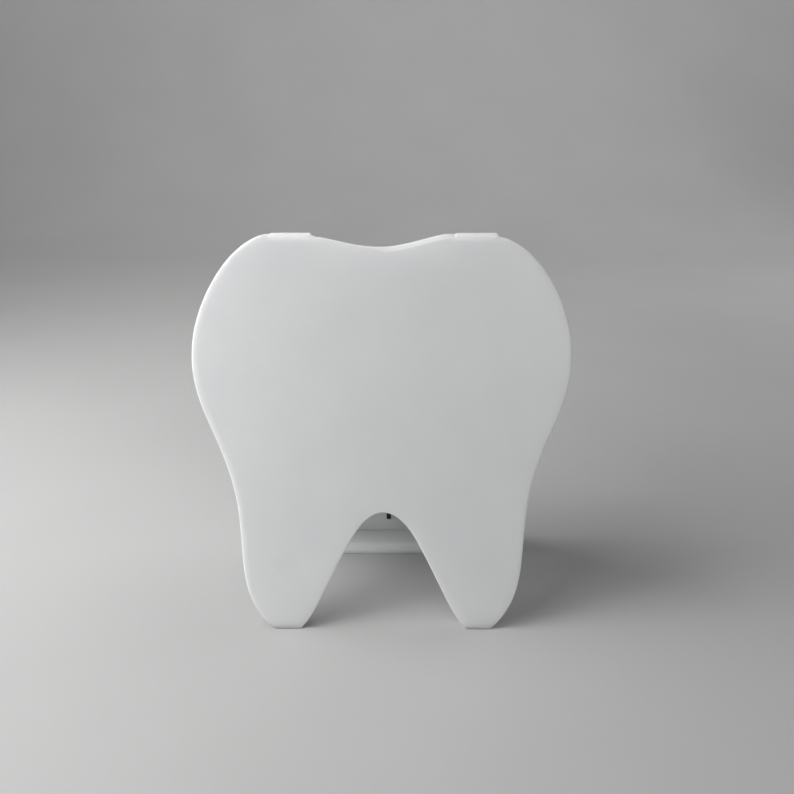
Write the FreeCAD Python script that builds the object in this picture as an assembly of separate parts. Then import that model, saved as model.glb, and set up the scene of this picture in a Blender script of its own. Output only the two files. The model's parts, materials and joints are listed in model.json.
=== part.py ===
import FreeCAD, Part
import math
import os

V = FreeCAD.Vector

# ---------------------------------------------------------------------------
# Driving dimensions, millimetres and degrees.  +Z is up, +Y points from the
# lid towards the tray, X runs along the hinge.
# ---------------------------------------------------------------------------
LEAN = 20.3            # lean of the lid at rest, from upright
Y_SHIFT = -36.123      # brings the middle of the object's depth to Y = 0
X_SHIFT = 0.769        # brings the middle of the object's width to X = 0

# lid sheet
LID_T = 3.0            # thickness of the lid sheet
LID_H = 150.0          # root tips to the top of the tabs, along the sheet
LID_EDGE_R = 0.3       # fine polished round on the edges of the sheet
TAB_C = 35.7           # middle of each tab from the centre line
TAB_HALF = 7.5         # half width of the tab's flange; the foot is as wide as the gap in the outline
BEND_IN = 1.2          # inside radius of the heat bend
BEND_OUT = BEND_IN + LID_T
AXIS_V = 146.8         # hinge axis, along the lid sheet
AXIS_W = 11.0          # hinge axis, behind the front face of the lid
EYE_R = 3.2            # outer radius of the hinge eyes
EYE_SLOT_HALF = 4.0    # half width of the slot between a tab's two eyes
EYE_SLOT_DEEP = 3.9    # the slot reaches this far in front of the axis
PIN_D = 2.0
PIN_HOLE_LID = 2.1     # running fit in the lid's eyes
PIN_HOLE_LUG = 2.04    # held in the tray's lug
LUG_HALF = 3.8         # half width of the lug between the eyes

# closed position of the lid against the tray
LID_GAP = 0.3          # lid back to tray rim when shut

# tray carcass
TRAY_W = 96.0
TRAY_H = 127.0
WALL = 3.0
FLOOR_T = 4.0
BACK_T = 3.0
DEPTH_IN = 14.0        # rim to back panel
RIM_R = 0.9            # soft round on the front edges of the walls
LEDGE_R = 3.3          # full round on the front edge of the bottom wall

# inside sheets
SHEET = 2.0
SHEET_SET_BACK = 0.8   # sheets stop short of the rim
LAP_PLAY = 0.1         # play per side in the half-lap slots
BIN_H = 26.0           # clear height of the open bin at the bottom
ROWS = 4
COLS = 5

# black inlay
STRIP_X = 1.2          # the mark stands a little to the right of the middle
STRIP_W = 1.9
STRIP_T = 0.6
STRIP_FOOT_Z = 10.0

# magnets
MAG_D = 6.0
MAG_T = 2.0
MAG_X = 38.0
MAG_V = 24.0           # along the lid sheet
BLOCK_X0 = 31.0
BLOCK_H = 14.1
BLOCK_SET_BACK = 2.1   # block face behind the rim

# hinge bracket
BASE_HALF = 7.7
BASE_DEEP = 5.0
BASE_T = 2.0
SCREW_OFF = 5.6
SCREW_D = 1.6
SCREW_HEAD_D = 3.0
SCREW_HEAD_H = 0.9

# rear bumpers
BUMP_D = 8.0
BUMP_X = 38.0
BUMP_Z = (14.0, 112.0)

# outline of the tooth, (across, up) from the middle of the hinge and the tips;
# the hand-drawn outline is a little fuller on the left
OUTER_R = [(38.13, -1.20), (44.71, 4.63), (48.68, 11.13), (50.97, 18.38),
           (52.12, 25.86), (52.79, 33.36), (53.52, 40.85), (54.63, 48.30),
           (56.28, 55.64), (58.54, 62.82), (61.35, 69.79), (64.40, 76.67),
           (67.26, 83.66), (69.49, 90.90), (70.76, 98.38), (70.90, 105.94),
           (69.93, 113.41), (68.00, 120.69), (65.16, 127.67), (61.44, 134.25),
           (56.71, 140.15), (50.84, 144.92), (43.60, 148.00)]
OUTER_L = [(-38.16, -1.20), (-45.16, 4.16), (-49.38, 10.63), (-51.71, 18.01),
           (-52.81, 25.65), (-53.46, 33.35), (-54.23, 41.04), (-55.49, 48.68),
           (-57.39, 56.19), (-59.92, 63.50), (-62.94, 70.62), (-66.15, 77.64),
           (-69.11, 84.78), (-71.31, 92.17), (-72.41, 99.76), (-72.33, 107.40),
           (-71.12, 114.96), (-68.86, 122.27), (-65.70, 129.28),
           (-61.73, 135.86), (-56.80, 141.74), (-50.73, 146.46),
           (-43.70, 149.25)]
SADDLE = [(27.10, 149.48), (20.88, 148.46), (15.75, 147.20), (10.61, 145.85),
          (5.39, 144.70), (0.12, 144.06), (-5.21, 144.09), (-10.47, 144.74),
          (-15.67, 145.79), (-20.86, 146.96), (-26.10, 147.85)]
ARCH_MID = 0.04
ARCH = [(32.32, -1.20), (27.86, 3.89), (24.93, 8.68), (22.37, 13.67),
        (19.89, 18.67), (17.39, 23.66), (14.84, 28.64), (12.16, 33.51),
        (9.08, 38.07), (5.05, 41.92), (0.00, 43.62)]

os.makedirs("parts", exist_ok=True)

# ---------------------------------------------------------------------------
# Derived positions
# ---------------------------------------------------------------------------
S, C = math.sin(math.radians(LEAN)), math.cos(math.radians(LEAN))
AXIS_Y = AXIS_V * S + AXIS_W * C + Y_SHIFT
AXIS_Z = AXIS_V * C - AXIS_W * S
RIM_Y = AXIS_Y - AXIS_W + LID_T + LID_GAP
BACK_IN_Y = RIM_Y + DEPTH_IN
BACK_OUT_Y = BACK_IN_Y + BACK_T
IN_HALF = TRAY_W / 2 - WALL
IN_TOP = TRAY_H - WALL
BUMP_T = (AXIS_Y + AXIS_W) - BACK_OUT_Y      # pads reach the plane of the open lid

nodes = {}


def box(x0, x1, y0, y1, z0, z1):
    return Part.makeBox(x1 - x0, y1 - y0, z1 - z0, V(x0, y0, z0))


def cyl_x(r, x0, x1, y, z):
    return Part.makeCylinder(r, x1 - x0, V(x0, y, z), V(1, 0, 0))


def cyl_y(r, y0, y1, x, z):
    return Part.makeCylinder(r, y1 - y0, V(x, y0, z), V(0, 1, 0))


def cyl_z(r, z0, z1, x, y):
    return Part.makeCylinder(r, z1 - z0, V(x, y, z0), V(0, 0, 1))


def spline(pts):
    c = Part.BSplineCurve()
    c.interpolate([V(x, 0, z) for x, z in pts])
    return c.toShape()


def line(a, b):
    return Part.LineSegment(V(a[0], 0, a[1]), V(b[0], 0, b[1])).toShape()


def soften(shape, picker, radius):
    """Round the picked edges; keep the sharp shape if the round will not close."""
    edges = [e for e in shape.Edges if picker(e)]
    if not edges:
        return shape
    try:
        out = shape.makeFillet(radius, edges)
        if out.isValid() and out.Volume > 0.5 * shape.Volume:
            return out
    except Exception as err:
        print("round skipped:", err)
    return shape


def to_rest(shape):
    """Lid sheet coordinates (across, behind, up) to the leaning rest pose."""
    s = shape.copy()
    s.rotate(V(0, 0, 0), V(1, 0, 0), -LEAN)
    s.translate(V(0, Y_SHIFT, 0))
    return s


def mirror_x(shape):
    return shape.mirror(V(0, 0, 0), V(1, 0, 0))


# ---------------------------------------------------------------------------
# Lid: tooth-shaped sheet with two bent tabs
# ---------------------------------------------------------------------------
BEND_V = LID_H - BEND_OUT
arch_full = ([(ARCH_MID - x, z) for x, z in ARCH]
             + [(ARCH_MID + x, z) for x, z in ARCH[-2::-1]])


def chain(*pts):
    return [line(pts[i], pts[i + 1]) for i in range(len(pts) - 1)]


outline = [spline(OUTER_R)]
outline += chain(OUTER_R[-1], (OUTER_R[-1][0], BEND_V), (SADDLE[0][0], BEND_V), SADDLE[0])
outline += [spline(SADDLE)]
outline += chain(SADDLE[-1], (SADDLE[-1][0], BEND_V), (OUTER_L[-1][0], BEND_V), OUTER_L[-1])
outline += [spline(OUTER_L[::-1])]
outline += chain(OUTER_L[0], arch_full[0])
outline += [spline(arch_full)]
outline += chain(arch_full[-1], OUTER_R[0])
wire = Part.Wire(outline)
sheet = Part.Face(wire).extrude(V(0, LID_T, 0))
if sheet.Volume < 0:
    sheet.reverse()


def is_edge_curve(e):
    """The long curved edges of both faces of the sheet."""
    if len(e.Vertexes) != 2 or e.Length < 20:
        return False
    b = e.BoundBox
    flat = b.YLength < 1e-6
    straight_top = b.ZLength < 1e-6
    return flat and not straight_top


sheet = soften(sheet, is_edge_curve, LID_EDGE_R)


def tab(side):
    """One bent tab with its flange and two hinge eyes, built on +X."""
    c_out, c_in = TAB_C + TAB_HALF, TAB_C - TAB_HALF
    x1, foot_out = OUTER_R[-1] if side > 0 else OUTER_L[-1]
    x0, foot_in = SADDLE[0] if side > 0 else SADDLE[-1]
    x0, x1 = abs(x0), abs(x1)
    bend_v = BEND_V
    q = math.sqrt(0.5)
    fl_v = LID_H - LID_T
    meet = math.sqrt(EYE_R ** 2 - (fl_v - AXIS_V) ** 2)

    def p(w, v):
        return V(0, w, v)

    edges = [
        Part.LineSegment(p(0, 143.0), p(0, bend_v)),
        Part.Arc(p(0, bend_v),
                 p(BEND_OUT - BEND_OUT * q, bend_v + BEND_OUT * q),
                 p(BEND_OUT, LID_H)),
        Part.LineSegment(p(BEND_OUT, LID_H), p(AXIS_W, LID_H)),
        Part.Arc(p(AXIS_W, LID_H), p(AXIS_W + EYE_R, AXIS_V),
                 p(AXIS_W, AXIS_V - EYE_R)),
        Part.Arc(p(AXIS_W, AXIS_V - EYE_R),
                 p(AXIS_W - EYE_R * q, AXIS_V - EYE_R * q),
                 p(AXIS_W - meet, fl_v)),
        Part.LineSegment(p(AXIS_W - meet, fl_v), p(BEND_OUT, fl_v)),
        Part.Arc(p(BEND_OUT, fl_v),
                 p(BEND_OUT - BEND_IN * q, bend_v + BEND_IN * q),
                 p(LID_T, bend_v)),
        Part.LineSegment(p(LID_T, bend_v), p(LID_T, 143.0)),
        Part.LineSegment(p(LID_T, 143.0), p(0, 143.0)),
    ]
    prof = Part.Face(Part.Wire([e.toShape() for e in edges]))
    prof.translate(V(x0, 0, 0))
    t = prof.extrude(V(x1 - x0, 0, 0))

    # flared foot of the tab, seen from the front
    for foot, top, up in ((x1, c_out, foot_out), (x0, c_in, foot_in)):
        far = foot + 4 * (1 if foot > top else -1)
        tri = Part.makePolygon([V(foot, -1, up), V(top, -1, LID_H),
                                V(top, -1, LID_H + 2), V(far, -1, LID_H + 2),
                                V(far, -1, up), V(foot, -1, up)])
        t = t.cut(Part.Face(tri).extrude(V(0, BEND_OUT + 1, 0)))
    # straight sides of the flange
    t = t.cut(box(c_out, x1 + 3, BEND_OUT, AXIS_W + 6, 140, LID_H + 2))
    t = t.cut(box(x0 - 3, c_in, BEND_OUT, AXIS_W + 6, 140, LID_H + 2))
    # slot for the lug, and the pin hole
    t = t.cut(box(TAB_C - EYE_SLOT_HALF, TAB_C + EYE_SLOT_HALF,
                  AXIS_W - EYE_SLOT_DEEP, AXIS_W + 6, 140, LID_H + 2))
    t = t.cut(cyl_x(PIN_HOLE_LID / 2, x0 - 1, x1 + 1, AXIS_W, AXIS_V))
    return t if side > 0 else mirror_x(t)


lid = sheet.fuse([tab(1), tab(-1)]).removeSplitter()
lid = to_rest(lid)
# the root tips are cut level, so the lid stands flat on them
lid = lid.cut(box(-90, 90, -90, 90, -20, 0))
lid = lid.Solids[0]
nodes["lid_panel"] = lid

mags = [cyl_y(MAG_D / 2, LID_T, LID_T + MAG_T, s * MAG_X, MAG_V) for s in (-1, 1)]
mags = [soften(m, lambda e: e.BoundBox.YMin > LID_T + MAG_T - 0.01, 0.25) for m in mags]
nodes["lid_magnets"] = Part.makeCompound([to_rest(m) for m in mags])

# ---------------------------------------------------------------------------
# Tray carcass
# ---------------------------------------------------------------------------
W2 = TRAY_W / 2


def front_edges(e):
    b = e.BoundBox
    return b.YLength < 1e-6 and abs(b.YMin - RIM_Y) < 1e-6 and e.Length > 20


bottom = box(-W2, W2, RIM_Y, BACK_OUT_Y, 0, FLOOR_T)
bottom = soften(bottom, lambda e: front_edges(e) and e.BoundBox.ZMin > FLOOR_T - 0.01, LEDGE_R)
nodes["bottom_wall"] = bottom

top = box(-W2, W2, RIM_Y, BACK_IN_Y, IN_TOP, TRAY_H)
top = soften(top, front_edges, RIM_R)
nodes["left_wall"] = soften(box(-W2, -IN_HALF, RIM_Y, BACK_IN_Y, FLOOR_T, IN_TOP), front_edges, RIM_R)
nodes["right_wall"] = soften(box(IN_HALF, W2, RIM_Y, BACK_IN_Y, FLOOR_T, IN_TOP), front_edges, RIM_R)

back = box(-W2, W2, BACK_IN_Y, BACK_OUT_Y, FLOOR_T, TRAY_H)
back = soften(back, lambda e: e.BoundBox.YMin > BACK_OUT_Y - 0.01 and e.Length > 20
              and e.BoundBox.ZMax > FLOOR_T + 1, RIM_R)
nodes["back_panel"] = back

# ---------------------------------------------------------------------------
# Half-lapped sheets inside
# ---------------------------------------------------------------------------
SHEET_Y0 = RIM_Y + SHEET_SET_BACK
MID_Y = (SHEET_Y0 + BACK_IN_Y) / 2
BIN_TOP = FLOOR_T + BIN_H
GRID_Z0 = BIN_TOP + SHEET
ROW_H = (IN_TOP - GRID_Z0 - (ROWS - 1) * SHEET) / ROWS
COL_W = (2 * IN_HALF - (COLS - 1) * SHEET) / COLS
div_x = [-IN_HALF + (i + 1) * COL_W + i * SHEET for i in range(COLS - 1)]
shelf_z = [GRID_Z0 + (i + 1) * ROW_H + i * SHEET for i in range(ROWS - 1)]

nodes["bin_shelf"] = box(-IN_HALF, IN_HALF, SHEET_Y0, BACK_IN_Y, BIN_TOP, GRID_Z0)

for name, z in zip(("shelf_lower", "shelf_middle", "shelf_upper"), shelf_z):
    s = box(-IN_HALF, IN_HALF, SHEET_Y0, BACK_IN_Y, z, z + SHEET)
    for x in div_x:
        s = s.cut(box(x - LAP_PLAY, x + SHEET + LAP_PLAY, MID_Y - LAP_PLAY, BACK_IN_Y + 1, z - 1, z + SHEET + 1))
    nodes[name] = s

for i, x in enumerate(div_x):
    d = box(x, x + SHEET, SHEET_Y0, BACK_IN_Y, GRID_Z0, IN_TOP)
    for z in shelf_z:
        d = d.cut(box(x - 1, x + SHEET + 1, SHEET_Y0 - 1, MID_Y + LAP_PLAY, z - LAP_PLAY, z + SHEET + LAP_PLAY))
    nodes["divider_%d" % (i + 1)] = d

# black inlay up the back wall of the bin
nodes["black_strip"] = box(STRIP_X - STRIP_W / 2, STRIP_X + STRIP_W / 2, BACK_IN_Y - STRIP_T, BACK_IN_Y, STRIP_FOOT_Z, BIN_TOP)

# ---------------------------------------------------------------------------
# Magnet blocks in the lower corners of the bin
# ---------------------------------------------------------------------------
MAG_Z = AXIS_Z - (AXIS_V - MAG_V)
BLOCK_Y0 = RIM_Y + BLOCK_SET_BACK


def block():
    b = box(BLOCK_X0, IN_HALF, BLOCK_Y0, BACK_IN_Y, FLOOR_T, FLOOR_T + BLOCK_H)
    b = soften(b, lambda e: abs(e.BoundBox.XMax - BLOCK_X0) < 1e-6 and e.BoundBox.ZLength > 5
               and e.BoundBox.YMax < BLOCK_Y0 + 0.01, 1.5)
    return b.cut(cyl_y(MAG_D / 2 + 0.05, BLOCK_Y0 - 1, BLOCK_Y0 + MAG_T, MAG_X, MAG_Z))


nodes["magnet_block_right"] = block()
nodes["magnet_block_left"] = mirror_x(block())
tm = [cyl_y(MAG_D / 2, BLOCK_Y0, BLOCK_Y0 + MAG_T, s * MAG_X, MAG_Z) for s in (-1, 1)]
nodes["tray_magnets"] = Part.makeCompound(
    [soften(m, lambda e: e.BoundBox.YMax < BLOCK_Y0 + 0.01, 0.25) for m in tm])

# ---------------------------------------------------------------------------
# Hinge brackets, pins and screws
# ---------------------------------------------------------------------------
def bracket():
    base = box(TAB_C - BASE_HALF, TAB_C + BASE_HALF, AXIS_Y - BASE_DEEP, AXIS_Y + BASE_DEEP,
               TRAY_H, TRAY_H + BASE_T)
    base = soften(base, lambda e: e.BoundBox.ZLength > BASE_T - 0.01, 1.5)
    neck = box(TAB_C - LUG_HALF, TAB_C + LUG_HALF, AXIS_Y - EYE_R, AXIS_Y + EYE_R,
               TRAY_H + BASE_T - 0.5, AXIS_Z)
    eye = cyl_x(EYE_R, TAB_C - LUG_HALF, TAB_C + LUG_HALF, AXIS_Y, AXIS_Z)
    b = base.fuse([neck, eye]).removeSplitter()
    b = b.cut(cyl_x(PIN_HOLE_LUG / 2, 0, 90, AXIS_Y, AXIS_Z))
    for s in (-1, 1):
        b = b.cut(cyl_z(SCREW_D / 2 + 0.05, TRAY_H - 1, TRAY_H + BASE_T + 1, TAB_C + s * SCREW_OFF, AXIS_Y))
    return b


def pin():
    x0, x1 = TAB_C - TAB_HALF - 0.5, TAB_C + TAB_HALF + 0.2
    shank = cyl_x(PIN_D / 2, x0, x1 + 0.1, AXIS_Y, AXIS_Z)
    shank = soften(shank, lambda e: e.BoundBox.XMax < x0 + 0.01, 0.3)
    head = cyl_x(1.7, x1, x1 + 0.9, AXIS_Y, AXIS_Z)
    head = soften(head, lambda e: e.BoundBox.XMin > x1 + 0.89, 0.6)
    return shank.fuse(head).removeSplitter()


def screw(x):
    z = TRAY_H + BASE_T
    shank = cyl_z(SCREW_D / 2, IN_TOP + 0.4, z + 0.1, x, AXIS_Y)
    head = cyl_z(SCREW_HEAD_D / 2, z, z + SCREW_HEAD_H, x, AXIS_Y)
    head = soften(head, lambda e: e.BoundBox.ZMin > z + SCREW_HEAD_H - 0.01, 0.5)
    slot = box(x - 0.2, x + 0.2, AXIS_Y - 2, AXIS_Y + 2, z + SCREW_HEAD_H - 0.4, z + SCREW_HEAD_H + 1)
    return shank.fuse(head).removeSplitter().cut(slot)


nodes["hinge_bracket_right"] = bracket()
nodes["hinge_bracket_left"] = mirror_x(bracket())
nodes["hinge_pin_right"] = pin()
nodes["hinge_pin_left"] = mirror_x(pin())
screw_x = [s * TAB_C + d * SCREW_OFF for s in (-1, 1) for d in (-1, 1)]
nodes["hinge_screws"] = Part.makeCompound([screw(x) for x in screw_x])
for x in screw_x:
    top = top.cut(cyl_z(SCREW_D / 2 + 0.02, IN_TOP + 0.2, TRAY_H + 1, x, AXIS_Y))
nodes["top_wall"] = top

# ---------------------------------------------------------------------------
# Soft pads on the back
# ---------------------------------------------------------------------------
pads = []
for x in (-BUMP_X, BUMP_X):
    for z in BUMP_Z:
        b = cyl_y(BUMP_D / 2, BACK_OUT_Y, BACK_OUT_Y + BUMP_T, x, z)
        pads.append(soften(b, lambda e: e.BoundBox.YMin > BACK_OUT_Y + BUMP_T - 0.01, 1.1))
nodes["rear_bumpers"] = Part.makeCompound(pads)

# ---------------------------------------------------------------------------
for name in sorted(nodes):
    shp = nodes[name].copy()
    shp.translate(V(X_SHIFT, 0, 0))
    nodes[name] = shp
    shp.exportStep("parts/%s.step" % name)
    b = shp.BoundBox
    print("%-20s solids %d valid %s vol %9.1f  X %.2f..%.2f Y %.2f..%.2f Z %.2f..%.2f" % (
        name, len(shp.Solids), shp.isValid(), shp.Volume,
        b.XMin, b.XMax, b.YMin, b.YMax, b.ZMin, b.ZMax))
whole = Part.makeCompound(list(nodes.values())).BoundBox
print("whole X %.3f..%.3f Y %.3f..%.3f Z %.3f..%.3f" % (
    whole.XMin, whole.XMax, whole.YMin, whole.YMax, whole.ZMin, whole.ZMax))
print("axis y %.4f z %.4f  rim y %.4f  back in y %.4f out %.4f  bumper %.3f" % (
    AXIS_Y, AXIS_Z, RIM_Y, BACK_IN_Y, BACK_OUT_Y, BUMP_T))
print("columns", [round(x, 3) for x in div_x], "col", round(COL_W, 3), "shelves", [round(z, 3) for z in shelf_z], "row", round(ROW_H, 3))
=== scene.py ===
import json
import math

import bmesh
import bpy
import numpy as np
from mathutils import Matrix, Vector


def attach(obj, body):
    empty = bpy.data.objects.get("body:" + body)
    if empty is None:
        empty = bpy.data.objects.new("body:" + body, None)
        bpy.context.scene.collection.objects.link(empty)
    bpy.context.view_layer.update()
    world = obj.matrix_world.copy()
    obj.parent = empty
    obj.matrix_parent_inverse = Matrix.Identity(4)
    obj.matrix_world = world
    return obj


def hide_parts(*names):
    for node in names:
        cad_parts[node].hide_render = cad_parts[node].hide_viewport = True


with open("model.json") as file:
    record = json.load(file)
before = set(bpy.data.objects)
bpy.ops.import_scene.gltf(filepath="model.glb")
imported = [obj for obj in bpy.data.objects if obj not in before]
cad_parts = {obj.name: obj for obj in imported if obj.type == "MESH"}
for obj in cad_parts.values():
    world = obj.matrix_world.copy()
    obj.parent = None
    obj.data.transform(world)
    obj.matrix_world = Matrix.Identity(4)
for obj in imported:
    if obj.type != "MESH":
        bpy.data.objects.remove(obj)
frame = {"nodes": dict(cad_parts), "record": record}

scene = bpy.context.scene
NODES = frame["nodes"]
BODY = {n: b for b, ns in frame["record"]["behaviour"]["bodies"].items() for n in ns}
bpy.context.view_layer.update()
MM = 0.001


# ---------------------------------------------------------------------------
# Node helpers
# ---------------------------------------------------------------------------
def material(name):
    m = bpy.data.materials.new(name)
    m.use_nodes = True
    nt = m.node_tree
    nt.nodes.clear()
    out = nt.nodes.new("ShaderNodeOutputMaterial")
    b = nt.nodes.new("ShaderNodeBsdfPrincipled")
    nt.links.new(b.outputs["BSDF"], out.inputs["Surface"])
    tc = nt.nodes.new("ShaderNodeTexCoord")
    return m, nt, b, tc.outputs["Object"]


def noise(nt, coord, scale, detail=2.0, rough=0.5, stretch=None, turn=None, distort=0.0):
    if stretch is not None:
        mp = nt.nodes.new("ShaderNodeMapping")
        mp.inputs["Scale"].default_value = stretch
        if turn is not None:
            mp.inputs["Rotation"].default_value = turn
        nt.links.new(coord, mp.inputs["Vector"])
        coord = mp.outputs["Vector"]
    n = nt.nodes.new("ShaderNodeTexNoise")
    n.inputs["Scale"].default_value = scale
    n.inputs["Detail"].default_value = detail
    n.inputs["Roughness"].default_value = rough
    n.inputs["Distortion"].default_value = distort
    nt.links.new(coord, n.inputs["Vector"])
    return n.outputs["Fac"]


def spread(nt, value, lo, hi, at=(0.3, 0.7)):
    r = nt.nodes.new("ShaderNodeMapRange")
    r.clamp = True
    r.inputs["From Min"].default_value = at[0]
    r.inputs["From Max"].default_value = at[1]
    r.inputs["To Min"].default_value = lo
    r.inputs["To Max"].default_value = hi
    nt.links.new(value, r.inputs["Value"])
    return r.outputs["Result"]


def ramp(nt, value, stops):
    r = nt.nodes.new("ShaderNodeValToRGB")
    e = r.color_ramp.elements
    while len(e) < len(stops):
        e.new(0.5)
    for el, (p, c) in zip(e, stops):
        el.position = p
        el.color = (*c, 1.0)
    nt.links.new(value, r.inputs["Fac"])
    return r.outputs["Color"]


def bump(nt, height, strength, distance, below=None):
    b = nt.nodes.new("ShaderNodeBump")
    b.inputs["Strength"].default_value = strength
    b.inputs["Distance"].default_value = distance
    nt.links.new(height, b.inputs["Height"])
    if below is not None:
        nt.links.new(below, b.inputs["Normal"])
    return b.outputs["Normal"]


# ---------------------------------------------------------------------------
# Materials
# ---------------------------------------------------------------------------
def opal_acrylic(name, depth):
    """Glossy milky sheet: faint cloudiness, slow sheet waviness, hairline wear in the gloss."""
    m, nt, b, co = material(name)
    cloud = noise(nt, co, 38.0, 3.0, 0.55)
    nt.links.new(ramp(nt, cloud, [(0.30, (0.800, 0.806, 0.812)), (0.70, (0.832, 0.835, 0.838))]), b.inputs["Base Color"])
    hair = noise(nt, co, 900.0, 4.0, 0.6, stretch=(1.0, 1.0, 0.12), turn=(0.0, 0.35, 0.0))
    nt.links.new(spread(nt, hair, 0.13, 0.21), b.inputs["Roughness"])
    wave = noise(nt, co, 55.0, 1.0, 0.4)
    peel = noise(nt, co, 700.0, 2.0, 0.5)
    nt.links.new(bump(nt, peel, 0.10, 0.000012, bump(nt, wave, 0.18, 0.00006)), b.inputs["Normal"])
    b.inputs["IOR"].default_value = 1.49
    b.inputs["Subsurface Weight"].default_value = 1.0
    b.inputs["Subsurface Radius"].default_value = (1.0, 1.0, 1.0)
    b.inputs["Subsurface Scale"].default_value = depth
    return m


def sheet_acrylic():
    """Satin white sheet of the shelves: fine frosted grain and a slightly warmer body."""
    m, nt, b, co = material("satin_sheet")
    cloud = noise(nt, co, 60.0, 3.0, 0.55)
    nt.links.new(ramp(nt, cloud, [(0.30, (0.765, 0.770, 0.772)), (0.70, (0.800, 0.803, 0.803))]), b.inputs["Base Color"])
    grain = noise(nt, co, 2600.0, 3.0, 0.6)
    nt.links.new(spread(nt, grain, 0.30, 0.44), b.inputs["Roughness"])
    nt.links.new(bump(nt, grain, 0.18, 0.00002), b.inputs["Normal"])
    b.inputs["IOR"].default_value = 1.49
    b.inputs["Subsurface Weight"].default_value = 0.30
    b.inputs["Subsurface Radius"].default_value = (1.0, 1.0, 1.0)
    b.inputs["Subsurface Scale"].default_value = 0.0018
    return m


def black_inlay():
    m, nt, b, co = material("black_satin")
    g = noise(nt, co, 1800.0, 3.0, 0.6)
    nt.links.new(ramp(nt, g, [(0.30, (0.008, 0.008, 0.009)), (0.70, (0.020, 0.020, 0.021))]), b.inputs["Base Color"])
    nt.links.new(spread(nt, g, 0.34, 0.50), b.inputs["Roughness"])
    nt.links.new(bump(nt, g, 0.25, 0.00002), b.inputs["Normal"])
    return m


def nickel():
    """Plated magnet faces: soft plating grain with small rub marks."""
    m, nt, b, co = material("nickel_plate")
    g = noise(nt, co, 420.0, 4.0, 0.6)
    nt.links.new(ramp(nt, g, [(0.30, (0.53, 0.52, 0.50)), (0.72, (0.66, 0.65, 0.62))]), b.inputs["Base Color"])
    rub = noise(nt, co, 1500.0, 4.0, 0.65, stretch=(1.0, 1.0, 0.15), turn=(0.0, 0.9, 0.0))
    nt.links.new(spread(nt, rub, 0.16, 0.34), b.inputs["Roughness"])
    nt.links.new(bump(nt, rub, 0.20, 0.00001), b.inputs["Normal"])
    b.inputs["Metallic"].default_value = 1.0
    return m


def brushed_steel():
    m, nt, b, co = material("brushed_steel")
    line = noise(nt, co, 2400.0, 4.0, 0.6, stretch=(0.04, 1.0, 1.0))
    nt.links.new(ramp(nt, line, [(0.28, (0.44, 0.45, 0.46)), (0.72, (0.60, 0.61, 0.62))]), b.inputs["Base Color"])
    nt.links.new(spread(nt, line, 0.24, 0.40), b.inputs["Roughness"])
    nt.links.new(bump(nt, line, 0.25, 0.000012), b.inputs["Normal"])
    b.inputs["Metallic"].default_value = 1.0
    return m


def pin_steel():
    m, nt, b, co = material("turned_steel")
    turn = noise(nt, co, 5200.0, 3.0, 0.6, stretch=(1.0, 0.05, 0.05))
    nt.links.new(ramp(nt, turn, [(0.28, (0.55, 0.55, 0.56)), (0.72, (0.68, 0.68, 0.69))]), b.inputs["Base Color"])
    nt.links.new(spread(nt, turn, 0.14, 0.26), b.inputs["Roughness"])
    nt.links.new(bump(nt, turn, 0.15, 0.000008), b.inputs["Normal"])
    b.inputs["Metallic"].default_value = 1.0
    return m


def soft_pad():
    """Milky bumper rubber."""
    m, nt, b, co = material("milky_rubber")
    cloud = noise(nt, co, 300.0, 2.0, 0.5)
    nt.links.new(ramp(nt, cloud, [(0.30, (0.60, 0.61, 0.60)), (0.70, (0.68, 0.69, 0.68))]), b.inputs["Base Color"])
    nt.links.new(spread(nt, cloud, 0.30, 0.42), b.inputs["Roughness"])
    nt.links.new(bump(nt, noise(nt, co, 2200.0, 2.0, 0.5), 0.15, 0.00002), b.inputs["Normal"])
    b.inputs["Subsurface Weight"].default_value = 0.6
    b.inputs["Subsurface Radius"].default_value = (1.0, 1.0, 1.0)
    b.inputs["Subsurface Scale"].default_value = 0.0025
    return m


def floor_paint():
    m, nt, b, co = material("pale_floor")
    g = noise(nt, co, 9.0, 3.0, 0.5)
    nt.links.new(ramp(nt, g, [(0.30, (0.470, 0.470, 0.466)), (0.70, (0.490, 0.490, 0.486))]), b.inputs["Base Color"])
    fine = noise(nt, co, 1200.0, 2.0, 0.5)
    nt.links.new(spread(nt, fine, 0.62, 0.74), b.inputs["Roughness"])
    nt.links.new(bump(nt, fine, 0.05, 0.00003), b.inputs["Normal"])
    b.inputs["Specular IOR Level"].default_value = 0.25
    return m


M_OPAL, M_TRAY = opal_acrylic("opal_acrylic_lid", 0.0045), opal_acrylic("opal_acrylic_tray", 0.0012)
M_SHEET, M_BLACK = sheet_acrylic(), black_inlay()
M_NICKEL, M_STEEL, M_PIN, M_PAD = nickel(), brushed_steel(), pin_steel(), soft_pad()


# ---------------------------------------------------------------------------
# Mesh helpers
# ---------------------------------------------------------------------------
def settle(obj, angle=32.0):
    """Smooth shading that keeps flat faces flat, stored in the mesh."""
    obj.data.shade_smooth()
    obj.data.set_sharp_from_angle(angle=math.radians(angle))
    w = obj.modifiers.new("flat_faces", "WEIGHTED_NORMAL")
    w.keep_sharp = True
    w.weight = 60
    dg = bpy.context.evaluated_depsgraph_get()
    done = bpy.data.meshes.new_from_object(obj.evaluated_get(dg), preserve_all_data_layers=True, depsgraph=dg)
    obj.modifiers.clear()
    old = obj.data
    done.name = obj.name
    obj.data = done
    bpy.data.meshes.remove(old)


def from_bmesh(bm, name):
    me = bpy.data.meshes.new(name)
    bm.to_mesh(me)
    bm.free()
    o = bpy.data.objects.new(name, me)
    scene.collection.objects.link(o)
    return o


def stands_for(obj, node, mat):
    obj.data.materials.clear()
    obj.data.materials.append(mat)
    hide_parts(node)
    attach(obj, BODY[node])
    return obj


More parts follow.
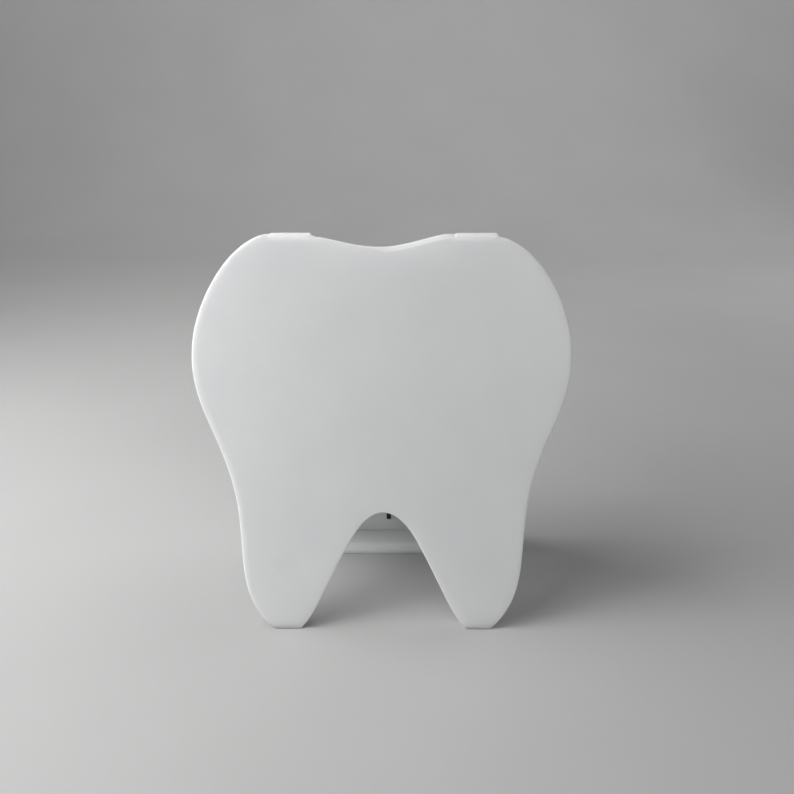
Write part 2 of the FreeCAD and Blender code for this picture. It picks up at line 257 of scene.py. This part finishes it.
def refined(node, mat, width=0.2, segments=3, angle=30.0):
    """The node's own shape with its sharp outer edges eased by a small round."""
    bm = bmesh.new()
    bm.from_mesh(NODES[node].data)
    bmesh.ops.remove_doubles(bm, verts=bm.verts[:], dist=2e-6)
    bmesh.ops.dissolve_limit(bm, angle_limit=math.radians(0.3), verts=bm.verts[:], edges=bm.edges[:])
    pick = [e for e in bm.edges if len(e.link_faces) == 2 and e.calc_face_angle_signed(0.0) > math.radians(angle)]
    bmesh.ops.bevel(bm, geom=pick, offset=width * MM, offset_type="OFFSET", segments=segments,
                    profile=0.5, affect="EDGES", clamp_overlap=True)
    bmesh.ops.recalc_face_normals(bm, faces=bm.faces[:])
    o = from_bmesh(bm, node + "_eased")
    o.data.materials.append(mat)
    settle(o)
    return stands_for(o, node, mat)


# ---------------------------------------------------------------------------
# Lid: one formed sheet.  Sheet coordinates in millimetres are (across, behind, up).
# ---------------------------------------------------------------------------
LEAN, X_SHIFT, Y_SHIFT = math.radians(20.3), 0.769, -36.123
LID_T, LID_H, EDGE_R, TIP_ROUND = 3.0, 150.0, 0.34, 0.6
BEVEL_W, BEVEL_TURN = 1.75, math.radians(21.0)
TAB_C, TAB_HALF = 35.7, 7.5
BEND_IN, BEND_OUT = 1.2, 4.2
BEND_V = LID_H - BEND_OUT
NOTCH_V = 145.0
AXIS_V, AXIS_W, EYE_R = 146.8, 11.0, 3.2
SLOT_HALF, SLOT_DEEP, HOLE_R = 4.0, 3.9, 1.05
OUTER_R = [(38.13, -1.20), (44.71, 4.63), (48.68, 11.13), (50.97, 18.38), (52.12, 25.86), (52.79, 33.36),
           (53.52, 40.85), (54.63, 48.30), (56.28, 55.64), (58.54, 62.82), (61.35, 69.79), (64.40, 76.67),
           (67.26, 83.66), (69.49, 90.90), (70.76, 98.38), (70.90, 105.94), (69.93, 113.41), (68.00, 120.69),
           (65.16, 127.67), (61.44, 134.25), (56.71, 140.15), (50.84, 144.92), (43.60, 148.00)]
OUTER_L = [(-38.16, -1.20), (-45.16, 4.16), (-49.38, 10.63), (-51.71, 18.01), (-52.81, 25.65), (-53.46, 33.35),
           (-54.23, 41.04), (-55.49, 48.68), (-57.39, 56.19), (-59.92, 63.50), (-62.94, 70.62), (-66.15, 77.64),
           (-69.11, 84.78), (-71.31, 92.17), (-72.41, 99.76), (-72.33, 107.40), (-71.12, 114.96), (-68.86, 122.27),
           (-65.70, 129.28), (-61.73, 135.86), (-56.80, 141.74), (-50.73, 146.46), (-43.70, 149.25)]
SADDLE = [(27.10, 149.48), (20.88, 148.46), (15.75, 147.20), (10.61, 145.85), (5.39, 144.70), (0.12, 144.06),
          (-5.21, 144.09), (-10.47, 144.74), (-15.67, 145.79), (-20.86, 146.96), (-26.10, 147.85)]
ARCH_MID = 0.04
ARCH = [(32.32, -1.20), (27.86, 3.89), (24.93, 8.68), (22.37, 13.67), (19.89, 18.67), (17.39, 23.66), (14.84, 28.64),
        (12.16, 33.51), (9.08, 38.07), (5.05, 41.92), (0.00, 43.62)]


def smooth_curve(points, step):
    """Cubic through the points by chord length, end slopes from the first and last four points."""
    p = np.array(points, float)
    t = np.concatenate([[0.0], np.cumsum(np.linalg.norm(np.diff(p, axis=0), axis=1))])

    def slope(ts, ps, at):
        d = np.zeros(2)
        for i in range(4):
            s = 0.0
            for j in range(4):
                if j != i:
                    term = 1.0 / (ts[i] - ts[j])
                    for k in range(4):
                        if k not in (i, j):
                            term *= (at - ts[k]) / (ts[i] - ts[k])
                    s += term
            d += s * ps[i]
        return d

    n, h = len(p), np.diff(t)
    a, r = np.zeros((n, n)), np.zeros((n, 2))
    a[0, 0], r[0] = 1.0, slope(t[:4], p[:4], t[0])
    a[-1, -1], r[-1] = 1.0, slope(t[-4:], p[-4:], t[-1])
    for i in range(1, n - 1):
        a[i, i - 1], a[i, i], a[i, i + 1] = h[i], 2 * (h[i - 1] + h[i]), h[i - 1]
        r[i] = 3 * (h[i] * (p[i] - p[i - 1]) / h[i - 1] + h[i - 1] * (p[i + 1] - p[i]) / h[i])
    m = np.linalg.solve(a, r)
    count = max(4, int(round(t[-1] / step)))
    pts, tan = [], []
    for s in np.linspace(0.0, t[-1], count + 1):
        i = min(int(np.searchsorted(t, s, side="right")) - 1, n - 2)
        x = (s - t[i]) / h[i]
        pts.append((2 * x**3 - 3 * x**2 + 1) * p[i] + (x**3 - 2 * x**2 + x) * h[i] * m[i]
                   + (-2 * x**3 + 3 * x**2) * p[i + 1] + (x**3 - x**2) * h[i] * m[i + 1])
        d = ((6 * x**2 - 6 * x) * p[i] / h[i] + (3 * x**2 - 4 * x + 1) * m[i]
             + (-6 * x**2 + 6 * x) * p[i + 1] / h[i] + (3 * x**2 - 2 * x) * m[i + 1])
        tan.append(d / np.linalg.norm(d))
    return np.array(pts), np.array(tan)


def outline_ring():
    """Closed outline, counter-clockwise, with how each point moves inward where the edge is worked, the radius
    of its round and how much of the polished bevel it carries: the bevel runs out along the saddle's left half."""
    ring, inward, radius, bevel = [], [], [], []

    def rounded(points, slide_first, slide_last, step=0.8, bevelled=False):
        pts, tan = smooth_curve(points, step)
        nrm = np.stack([-tan[:, 1], tan[:, 0]], axis=1)
        for i, s in ((0, slide_first), (-1, slide_last)):
            s = np.array(s, float)
            nrm[i] = s / max(0.3, float(nrm[i] @ s))
        ring.extend(pts)
        inward.extend(nrm)
        radius.extend(EDGE_R * (TIP_ROUND + (1 - TIP_ROUND) * np.clip((pts[:, 1] - 0.5) / 6.0, 0.0, 1.0)))
        t = np.clip((pts[:, 0] + 9.0) / 11.0, 0.0, 1.0)
        bevel.extend(t * t * (3 - 2 * t) if bevelled else np.zeros(len(pts)))

    def square(*points):
        for q in points:
            ring.append(np.array(q, float))
            inward.append(np.zeros(2))
            radius.append(EDGE_R)
            bevel.append(0.0)

    arch = [(ARCH_MID - x, z) for x, z in ARCH] + [(ARCH_MID + x, z) for x, z in ARCH[-2::-1]]
    rounded(OUTER_R, (-1, 0), (0, -1))
    square((OUTER_R[-1][0], NOTCH_V), (SADDLE[0][0], NOTCH_V))
    rounded(SADDLE, (0, -1), (0, -1), bevelled=True)
    square((SADDLE[-1][0], NOTCH_V), (OUTER_L[-1][0], NOTCH_V))
    rounded(OUTER_L[::-1], (0, -1), (1, 0))
    rounded(arch, (-1, 0), (1, 0))
    return ring, inward, radius, bevel


def edge_profile(r, share):
    """(inset, depth) steps from the front face over the bevel and the round to the back face."""
    turn = BEVEL_TURN * share
    start = r + 0.06 + BEVEL_W * share
    centre = (r + (start - r) * math.sin(turn)) / math.cos(turn)
    foot = (r - r * math.sin(turn), centre - r * math.cos(turn))
    steps = [(start + (foot[0] - start) * k / 3, foot[1] * k / 3) for k in range(3)]
    for k in range(7):
        a = turn + (math.pi / 2 - turn) * k / 6
        steps.append((r * (1 - math.sin(a)), centre - r * math.cos(a)))
    for k in range(7):
        a = math.pi / 2 * (6 - k) / 6
        steps.append((r * (1 - math.sin(a)), LID_T - r * (1 - math.cos(a))))
    return steps


def sheet_body():
    ring, inward, radius, bevel = outline_ring()
    profiles = [edge_profile(r, b) for r, b in zip(radius, bevel)]
    bm = bmesh.new()
    loops = [[bm.verts.new((q[0] + d[0] * p[k][0], p[k][1], q[1] + d[1] * p[k][0])) for q, d, p in zip(ring, inward, profiles)]
             for k in range(len(profiles[0]))]
    n = len(ring)
    for a, b in zip(loops, loops[1:]):
        for i in range(n):
            j = (i + 1) % n
            bm.faces.new((a[i], b[i], b[j], a[j]))
    bm.faces.new(loops[0])
    bm.faces.new(list(reversed(loops[-1])))
    bmesh.ops.remove_doubles(bm, verts=bm.verts[:], dist=1e-5)
    bmesh.ops.recalc_face_normals(bm, faces=bm.faces[:])
    drawn_back(bm)
    return bm


def drawn_back(bm, reach=4.8):
    """Beside each tab the sheet's edge is drawn back with the bend, and the pull fades out along the edge."""
    sides = {1: (SADDLE[0][0], OUTER_R[-1][0]), -1: (-SADDLE[-1][0], -OUTER_L[-1][0])}

    def slice_at(faces, co, no):
        geom = list(dict.fromkeys(v for f in faces for v in f.verts)) + list(dict.fromkeys(e for f in faces for e in f.edges)) + faces
        bmesh.ops.bisect_plane(bm, geom=geom, dist=1e-6, plane_co=co, plane_no=no)

    for v in np.arange(BEND_V, LID_H - 0.3, 0.3):
        slice_at([f for f in bm.faces if max(q.co.z for q in f.verts) > v], (0, 0, v), (0, 0, 1))
    for sign in (1, -1):
        for k in range(1, int(reach / 0.6) + 1):
            for u in (sides[sign][0] - 0.6 * k, sides[sign][1] + 0.6 * k):
                slice_at([f for f in bm.faces if min(q.co.z for q in f.verts) > BEND_V - 1e-4
                          and min(q.co.x * sign for q in f.verts) < u < max(q.co.x * sign for q in f.verts)],
                         (sign * u, 0, 0), (1, 0, 0))
    for q in bm.verts:
        rise = q.co.z - BEND_V
        if rise > 0:
            near, far = sides[1 if q.co.x > 0 else -1]
            gap = max(abs(q.co.x) - far, near - abs(q.co.x), 0.0)
            t = max(0.0, 1 - gap / reach)
            rise = min(rise, 0.97 * BEND_OUT)
            q.co.y += t * t * (3 - 2 * t) * (BEND_OUT - math.sqrt(BEND_OUT**2 - rise**2) + 0.012)


def arc(cx, cy, r, a0, a1, n):
    return [(cx + r * math.cos(math.radians(a0 + (a1 - a0) * i / n)),
             cy + r * math.sin(math.radians(a0 + (a1 - a0) * i / n))) for i in range(n + 1)]


def lofted(profile, u0, u1, ease, steps=6, ends=None):
    """Closed profile of (behind, up) points between the sides u0 and u1, with the end edges eased by ease(point).
    ends lists the faces of an end that isn't flat, by the profile's points."""
    p = np.array(profile, float)
    area = 0.5 * float(np.sum(p[:, 0] * np.roll(p[:, 1], -1) - np.roll(p[:, 0], -1) * p[:, 1]))
    tan = np.roll(p, -1, axis=0) - p
    tan /= np.linalg.norm(tan, axis=1)[:, None]
    tan = tan + np.roll(tan, 1, axis=0)
    tan /= np.linalg.norm(tan, axis=1)[:, None]
    inn = np.stack([-tan[:, 1], tan[:, 0]], axis=1) * (1.0 if area > 0 else -1.0)
    r = np.array([ease(w, v) for w, v in p])
    rings = []
    for side, u in ((-1, u0), (1, u1)):
        end = np.array([u(w, v) for w, v in p])
        some = []
        for k in range(steps + 1):
            a = math.pi / 2 * k / steps
            q = p + inn * (r * (1 - math.sin(a)))[:, None]
            some.append([(x, w, v) for x, (w, v) in zip(end - side * r * (1 - math.cos(a)), q)])
        rings += some if side < 0 else some[::-1]
    bm = bmesh.new()
    loops = [[bm.verts.new(c) for c in ring] for ring in rings]
    n = len(p)
    for a, b in zip(loops, loops[1:]):
        for i in range(n):
            j = (i + 1) % n
            bm.faces.new((a[i], a[j], b[j], b[i]))
    for face in ends or [range(n)]:
        bm.faces.new([loops[0][i] for i in reversed(face)])
        bm.faces.new([loops[-1][i] for i in face])
    bmesh.ops.remove_doubles(bm, verts=bm.verts[:], dist=1e-6)
    bmesh.ops.recalc_face_normals(bm, faces=bm.faces[:])
    return bm


def tab_bodies(side):
    """The bent tab and its two hinge eyes as closed bodies, on +across, mirrored for the left."""
    c_in, c_out = TAB_C - TAB_HALF, TAB_C + TAB_HALF
    x_out, foot_out = OUTER_R[-1] if side > 0 else OUTER_L[-1]
    x_in, foot_in = SADDLE[0] if side > 0 else SADDLE[-1]
    x_in, x_out = abs(x_in), abs(x_out)
    under = LID_H - LID_T
    deep = AXIS_W - SLOT_DEEP
    thin = 0.002

    def limit(top, foot_x, foot_v):
        """Side of the tab: full width up to its foot, then a hollow curve round the bend to the flange."""
        def at(w, v):
            if w >= BEND_OUT - 1e-6:
                return top
            if v <= BEND_V + 1e-6:
                return foot_x
            round_v = BEND_V + BEND_OUT * math.sin(math.atan2(v - BEND_V, BEND_OUT - w))
            s = min(1.0, max(0.0, (round_v - foot_v) / (LID_H - foot_v)))
            return foot_x + (top - foot_x) * (1 - (1 - s)**2)
        return at

    def ease(w, v):
        """Square where the tab grows out of the sheet, rounded from the bend onwards."""
        if w >= BEND_OUT:
            return 0.4
        if v <= BEND_V:
            return 0.0
        turn = math.atan2(v - BEND_V, BEND_OUT - w) / (math.pi / 2)
        return 0.4 * min(1.0, max(0.0, (turn - 0.25) / 0.45))

    turns = 26
    bend_out = arc(BEND_OUT, BEND_V, BEND_OUT - thin, 180, 90, turns)
    bend_in = arc(BEND_OUT, BEND_V, BEND_IN + thin, 90, 180, turns)
    base = [(thin, 143.0)] + bend_out + arc(deep - 0.6, LID_H - thin - 0.6, 0.6, 90, 0, 6) \
        + arc(deep - 0.6, under + thin + 0.6, 0.6, 0, -90, 6) + bend_in + [(LID_T - thin, 143.0)]
    last = len(base) - 1
    ends = [[0, 1, last - 1, last]] + [[i, i + 1, last - i - 1, last - i] for i in range(1, turns + 1)] \
        + [list(range(turns + 1, last - turns))]
    made = [lofted(base, limit(c_in, x_in - 0.05, foot_in), limit(c_out, x_out + 0.05, foot_out), ease,
                   ends=ends)]
    meet = math.degrees(math.asin((under - AXIS_V) / EYE_R))
    eye = [(4.6, LID_H - 0.006)] + arc(AXIS_W, AXIS_V, EYE_R - 0.006, 90, -180 - meet, 54) + [(4.6, under + 0.006)]
    for a, b in ((c_in + 0.004, TAB_C - SLOT_HALF), (TAB_C + SLOT_HALF, c_out - 0.004)):
        made.append(lofted(eye, lambda w, v, a=a: a, lambda w, v, b=b: b, lambda w, v: 0.45 if w > 5.0 else 0.0))
    if side < 0:
        for bm in made:
            bmesh.ops.scale(bm, vec=(-1, 1, 1), verts=bm.verts[:])
            bmesh.ops.reverse_faces(bm, faces=bm.faces[:])
    return made


def pin_hole(side):
    """Cutter for the pin's running hole, slightly countersunk at every eye face."""
    bm = bmesh.new()
    c_in, c_out = TAB_C - TAB_HALF, TAB_C + TAB_HALF
    faces = [c_in, TAB_C - SLOT_HALF, TAB_C + SLOT_HALF, c_out]
    prof = [(c_in - 1.0, HOLE_R + 0.25)]
    for i, f in enumerate(faces):
        if i % 2 == 0:
            prof += [(f, HOLE_R + 0.25), (f + 0.25, HOLE_R)]
        else:
            prof += [(f - 0.25, HOLE_R), (f, HOLE_R + 0.25)]
    prof += [(c_out + 1.0, HOLE_R + 0.25)]
    n, rings = 40, []
    for u, r in prof:
        rings.append([bm.verts.new((u, AXIS_W + r * math.cos(2 * math.pi * k / n), AXIS_V + r * math.sin(2 * math.pi * k / n)))
                      for k in range(n)])
    for a, b in zip(rings, rings[1:]):
        for k in range(n):
            bm.faces.new((a[k], a[(k + 1) % n], b[(k + 1) % n], b[k]))
    bm.faces.new(rings[0])
    bm.faces.new(list(reversed(rings[-1])))
    bmesh.ops.recalc_face_normals(bm, faces=bm.faces[:])
    if side < 0:
        bmesh.ops.scale(bm, vec=(-1, 1, 1), verts=bm.verts[:])
        bmesh.ops.reverse_faces(bm, faces=bm.faces[:])
    return bm


def combine(target, other, how):
    m = target.modifiers.new(how, "BOOLEAN")
    m.operation, m.solver, m.object = how, "EXACT", other
    dg = bpy.context.evaluated_depsgraph_get()
    done = bpy.data.meshes.new_from_object(target.evaluated_get(dg), depsgraph=dg)
    target.modifiers.clear()
    old = target.data
    target.data = done
    bpy.data.meshes.remove(old)
    gone = other.data
    bpy.data.objects.remove(other)
    bpy.data.meshes.remove(gone)


def drop_idle_points(bm, off=0.02):
    """Takes out the points that only join two edges nearly in line, so that no two faces fold onto the same chord."""
    while True:
        idle, held = [], set()
        for v in bm.verts:
            if len(v.link_edges) == 2 and v not in held:
                a, b = (e.other_vert(v) for e in v.link_edges)
                along = (b.co - a.co).normalized()
                rest = v.co - a.co
                if (rest - along * rest.dot(along)).length < off:
                    idle.append(v)
                    held.update((a, b))
        if not idle:
            return
        bmesh.ops.dissolve_verts(bm, verts=idle)


def formed_lid():
    lid = from_bmesh(sheet_body(), "lid_panel_formed")
    for side in (1, -1):
        for bm in tab_bodies(side):
            combine(lid, from_bmesh(bm, "tab_part"), "UNION")
        combine(lid, from_bmesh(pin_hole(side), "tab_hole"), "DIFFERENCE")
    bm = bmesh.new()
    bm.from_mesh(lid.data)
    bmesh.ops.remove_doubles(bm, verts=bm.verts[:], dist=0.0005)
    # to the leaning rest pose, still in millimetres
    bmesh.ops.transform(bm, verts=bm.verts[:], matrix=Matrix.Translation((X_SHIFT, Y_SHIFT, 0.0)) @ Matrix.Rotation(-LEAN, 4, "X"))
    # the root tips are cut level with the table
    cut = bmesh.ops.bisect_plane(bm, geom=bm.verts[:] + bm.edges[:] + bm.faces[:], dist=1e-5, plane_co=(0, 0, 0),
                                 plane_no=(0, 0, -1), clear_outer=True)
    rim = [g for g in cut["geom_cut"] if isinstance(g, bmesh.types.BMEdge)]
    bmesh.ops.edgeloop_fill(bm, edges=rim)
    bmesh.ops.recalc_face_normals(bm, faces=bm.faces[:])
    tips = [f for f in bm.faces if f.normal.z < -0.99 and f.calc_center_median().z < 0.01]
    bmesh.ops.bevel(bm, geom=list(dict.fromkeys(e for f in tips for e in f.edges)), offset=0.08, offset_type="OFFSET", segments=2,
                    profile=0.5, affect="EDGES", clamp_overlap=True)
    bmesh.ops.dissolve_limit(bm, angle_limit=math.radians(0.04), verts=bm.verts[:], edges=bm.edges[:])
    drop_idle_points(bm)
    bmesh.ops.recalc_face_normals(bm, faces=bm.faces[:])
    bmesh.ops.scale(bm, vec=(MM, MM, MM), verts=bm.verts[:])
    open_edges = sum(1 for e in bm.edges if not e.is_manifold)
    print("lid mesh: verts %d faces %d open edges %d" % (len(bm.verts), len(bm.faces), open_edges))
    bm.to_mesh(lid.data)
    bm.free()
    lid.data.materials.append(M_OPAL)
    settle(lid, 17.0)
    return stands_for(lid, "lid_panel", M_OPAL)


formed_lid()

# ---------------------------------------------------------------------------
# Tray
# ---------------------------------------------------------------------------
for name in ("back_panel", "left_wall", "right_wall", "bottom_wall", "top_wall"):
    refined(name, M_TRAY, width=0.22)
for name in ("bin_shelf", "shelf_lower", "shelf_middle", "shelf_upper", "divider_1", "divider_2", "divider_3",
             "divider_4", "magnet_block_left", "magnet_block_right"):
    refined(name, M_SHEET, width=0.16)
refined("black_strip", M_BLACK, width=0.12)
for name in ("hinge_bracket_left", "hinge_bracket_right"):
    refined(name, M_STEEL, width=0.22)
for name, mat in (("lid_magnets", M_NICKEL), ("tray_magnets", M_NICKEL), ("hinge_pin_left", M_PIN),
                  ("hinge_pin_right", M_PIN), ("hinge_screws", M_PIN), ("rear_bumpers", M_PAD)):
    for s in NODES[name].material_slots:
        s.material = mat


# ---------------------------------------------------------------------------
# Stage, light and camera
# ---------------------------------------------------------------------------
def sweep():
    prof = [(-2.2, 0.0)] + [(0.75 + 0.5 * math.sin(a), 0.5 - 0.5 * math.cos(a)) for a in np.linspace(0, math.pi / 2, 25)] + [(1.25, 2.6)]
    bm = bmesh.new()
    rows = [[bm.verts.new((x, y, z)) for x in (-3.0, 3.0)] for y, z in prof]
    for a, b in zip(rows, rows[1:]):
        bm.faces.new((a[0], a[1], b[1], b[0]))
    bmesh.ops.recalc_face_normals(bm, faces=bm.faces[:])
    o = from_bmesh(bm, "floor_sweep")
    o.data.shade_smooth()
    o.data.materials.append(floor_paint())
    return o


sweep()


def soft_light(name, at, aim, size, energy, colour=(1.0, 1.0, 1.0)):
    d = bpy.data.lights.new(name, "AREA")
    d.shape = "RECTANGLE"
    d.size, d.size_y = size
    d.energy = energy
    d.color = colour
    o = bpy.data.objects.new(name, d)
    o.location = at
    o.rotation_euler = (Vector(aim) - Vector(at)).to_track_quat("-Z", "Y").to_euler()
    o.visible_camera = False
    scene.collection.objects.link(o)
    return o


AIM = (0.0, 0.0, 0.08)
soft_light("low_front", (0.0, -0.9848, 0.2536), AIM, (0.5, 0.5), 0.113)
soft_light("front_left", (-0.3547, -0.2484, 0.33), AIM, (0.3, 0.3), 0.959)
soft_light("window_left", (-0.4314, -0.0377, 0.33), AIM, (0.3, 0.3), 0.904)
soft_light("high_left", (-0.3482, 0.0614, 0.5013), AIM, (0.35, 0.35), 2.028)
soft_light("front_fill", (0.1596, -0.9053, 0.8513), AIM, (0.8, 0.8), 1.263)
soft_light("rear_right", (0.803, 0.4636, 0.4546), AIM, (0.7, 0.7), 1.5)
soft_light("backdrop_wash", (0.0, 0.45, 0.95), (0.0, 1.25, 0.62), (2.2, 0.6), 8.0)

world = bpy.data.worlds.new("soft_room")
world.use_nodes = True
bg = world.node_tree.nodes["Background"]
bg.inputs["Color"].default_value = (0.95, 0.97, 1.0, 1.0)
bg.inputs["Strength"].default_value = 0.10
scene.world = world

cam_data = bpy.data.cameras.new("photo_camera")
cam_data.sensor_fit = "HORIZONTAL"
cam_data.sensor_width = 36.0
cam_data.lens = 795.0 / 794.0 * 36.0
cam_data.clip_start, cam_data.clip_end = 0.01, 20.0
cam = bpy.data.objects.new("photo_camera", cam_data)
cam.location = (0.007266, -0.287436, 0.183674)
cam.rotation_euler = (math.radians(90.0 - 19.889), 0.0, math.radians(0.29))
scene.collection.objects.link(cam)
scene.camera = cam

scene.view_settings.view_transform = "Standard"
scene.view_settings.look = "None"
scene.view_settings.exposure = 0.0
scene.view_settings.gamma = 1.0
